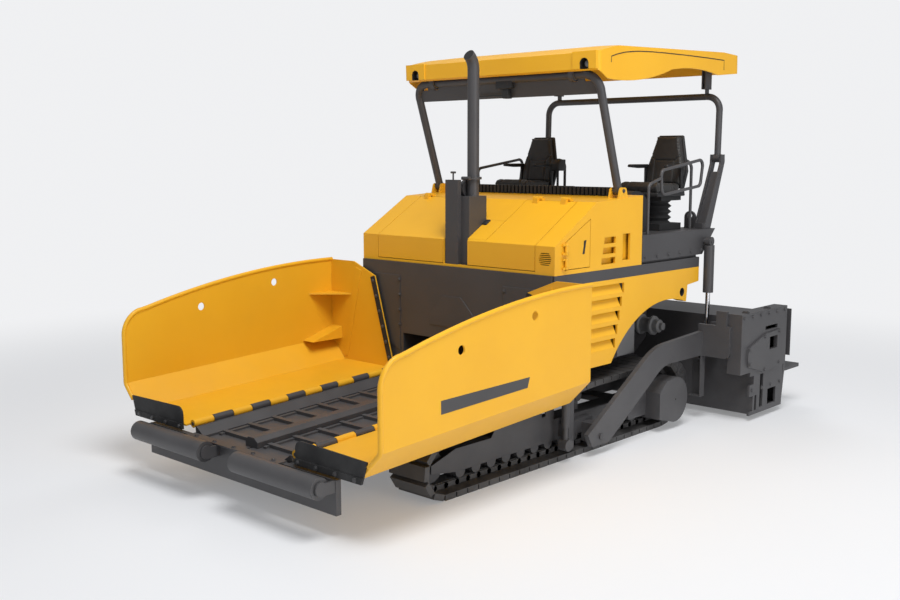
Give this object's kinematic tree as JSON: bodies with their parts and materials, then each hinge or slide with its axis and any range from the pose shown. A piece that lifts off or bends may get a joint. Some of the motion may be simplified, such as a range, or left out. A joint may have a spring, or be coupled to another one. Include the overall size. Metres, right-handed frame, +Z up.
{
  "type": "tracked asphalt paver",
  "caption": "Tracked road paver: a hopper with folding wings, push rollers, engine hood, folding canopy, seats, augers and a floating screed on tow arms.",
  "frame": {"origin": "on the ground under the middle of the machine's length and width", "axes": "+X to the machine's left, +Y to the rear where the screed hangs, +Z up"},
  "size_m": [3.7, 6.685, 3.8847],
  "materials": {
    "yellow_paint": "gloss paint",
    "moulded_panel": "gloss moulded panel",
    "dark_paint": "satin paint",
    "grey_paint": "satin paint",
    "rubber": "matte",
    "seat_cover": "grained cover",
    "black_plastic": "matte",
    "chrome": "polished"
  },
  "bodies": {
    "chassis": {"main_frame": "dark_paint", "belt_frame": "dark_paint", "back_wall": "dark_paint", "hinge_rail_left": "dark_paint", "hinge_rail_right": "dark_paint", "conveyor_left": "grey_paint", "conveyor_right": "grey_paint", "hopper_ridge": "dark_paint", "push_beam": "dark_paint", "track_left": "dark_paint", "track_right": "dark_paint", "track_frame_left": "dark_paint", "track_frame_right": "dark_paint", "track_rollers_left": "grey_paint", "track_rollers_right": "grey_paint", "drive_cover_left": "grey_paint", "drive_cover_right": "grey_paint", "engine": "dark_paint", "tank_left": "grey_paint", "tank_right": "grey_paint", "skirt_left": "yellow_paint", "skirt_right": "yellow_paint", "hood": "moulded_panel", "stack": "dark_paint", "cowl_grille": "black_plastic", "platform": "dark_paint", "side_box_left": "dark_paint", "side_box_right": "dark_paint", "console": "black_plastic", "seat_base_left": "rubber", "seat_base_right": "rubber", "seat_left": "seat_cover", "seat_right": "seat_cover", "rail_left": "grey_paint", "rail_right": "grey_paint", "rear_posts": "dark_paint", "tow_guides": "dark_paint", "auger_case": "dark_paint", "lifting_lugs": "dark_paint"},
    "wing_left": {"wing_left": "yellow_paint", "flap_left": "rubber"},
    "wing_right": {"wing_right": "yellow_paint", "flap_right": "rubber"},
    "push_roller_left": {"push_roller_left": "grey_paint"},
    "push_roller_right": {"push_roller_right": "grey_paint"},
    "lid_left": {"lid_left": "moulded_panel"},
    "lid_right": {"lid_right": "moulded_panel"},
    "door_left": {"door_left": "moulded_panel"},
    "door_right": {"door_right": "moulded_panel"},
    "front_hoop": {"front_hoop": "dark_paint"},
    "roof": {"roof": "moulded_panel"},
    "rear_hoop": {"rear_hoop": "dark_paint"},
    "exhaust": {"exhaust_pipe": "dark_paint"},
    "screed": {"tow_arm_left": "grey_paint", "tow_arm_right": "grey_paint", "screed": "dark_paint"},
    "lift_barrels": {"lift_barrels": "dark_paint"},
    "lift_rods": {"lift_rods": "chrome"},
    "auger_left": {"auger_left": "grey_paint"},
    "auger_right": {"auger_right": "grey_paint"}
  },
  "joints": [
    {"name": "push_roller_left_spin", "type": "hinge", "parent": "chassis", "child": "push_roller_left", "pos_m": [0.7, -3.2575, 0.4], "axis": [1, 0, 0], "continuous": true},
    {"name": "wing_left_fold", "type": "hinge", "parent": "chassis", "child": "wing_left", "pos_m": [0.69, -3.0775, 0.509], "axis": [0, -0.9987, -0.0506], "range_deg": [0, 60]},
    {"name": "lid_left_hinge", "type": "hinge", "parent": "chassis", "child": "lid_left", "pos_m": [0.6, 0.0855, 2.377], "axis": [-1, 0, 0], "range_deg": [0, 60]},
    {"name": "door_left_hinge", "type": "hinge", "parent": "chassis", "child": "door_left", "pos_m": [1.268, -0.3975, 1.98], "axis": [0, 0, -1], "range_deg": [0, 100]},
    {"name": "auger_left_spin", "type": "hinge", "parent": "chassis", "child": "auger_left", "pos_m": [0.6, 1.8725, 0.42], "axis": [1, 0, 0], "continuous": true},
    {"name": "push_roller_right_spin", "type": "hinge", "parent": "chassis", "child": "push_roller_right", "pos_m": [-0.7, -3.2575, 0.4], "axis": [1, 0, 0], "continuous": true},
    {"name": "wing_right_fold", "type": "hinge", "parent": "chassis", "child": "wing_right", "pos_m": [-0.69, -3.0775, 0.509], "axis": [0, 0.9987, 0.0506], "range_deg": [0, 60]},
    {"name": "lid_right_hinge", "type": "hinge", "parent": "chassis", "child": "lid_right", "pos_m": [-0.6, 0.0855, 2.377], "axis": [-1, 0, 0], "range_deg": [0, 60]},
    {"name": "door_right_hinge", "type": "hinge", "parent": "chassis", "child": "door_right", "pos_m": [-1.268, -0.3975, 1.98], "axis": [0, 0, 1], "range_deg": [0, 100]},
    {"name": "auger_right_spin", "type": "hinge", "parent": "chassis", "child": "auger_right", "pos_m": [-0.6, 1.8725, 0.42], "axis": [1, 0, 0], "continuous": true},
    {"name": "screed_lift", "type": "hinge", "parent": "chassis", "child": "screed", "pos_m": [0, 0.0025, 0.179], "axis": [1, 0, 0], "range_deg": [-1, 6]},
    {"name": "lift_barrel_swing", "type": "hinge", "parent": "chassis", "child": "lift_barrels", "pos_m": [0, 2.0825, 1.88], "axis": [-1, 0, 0], "range_deg": [-2, 7]},
    {"name": "lift_rod_slide", "type": "slide", "parent": "lift_barrels", "child": "lift_rods", "axis": [0, 0, 1], "range_m": [-0.05, 0.23]},
    {"name": "canopy_fold", "type": "hinge", "parent": "chassis", "child": "front_hoop", "pos_m": [0, 0.5385, 2.45], "axis": [1, 0, 0], "range_deg": [0, 40]},
    {"name": "roof_level", "type": "hinge", "parent": "front_hoop", "child": "roof", "pos_m": [0, 0.1725, 3.535], "axis": [1, 0, 0], "range_deg": [-40, 0]},
    {"name": "rear_hoop_fold", "type": "hinge", "parent": "chassis", "child": "rear_hoop", "pos_m": [0, 2.4625, 2.757], "axis": [1, 0, 0], "range_deg": [0, 66]},
    {"name": "exhaust_fold", "type": "hinge", "parent": "chassis", "child": "exhaust", "pos_m": [0.13, -0.4795, 2.57], "axis": [1, 0, 0], "range_deg": [0, 92]}
  ],
  "couplings": [
    {"joint": "lift_barrel_swing", "follows": "screed_lift", "ratio": 0.86},
    {"joint": "lift_rod_slide", "follows": "screed_lift", "m_per_rad": 2.03},
    {"joint": "roof_level", "follows": "canopy_fold", "ratio": -0.9},
    {"joint": "rear_hoop_fold", "follows": "canopy_fold", "ratio": 1.6},
    {"joint": "exhaust_fold", "follows": "canopy_fold", "ratio": 2.25}
  ]
}
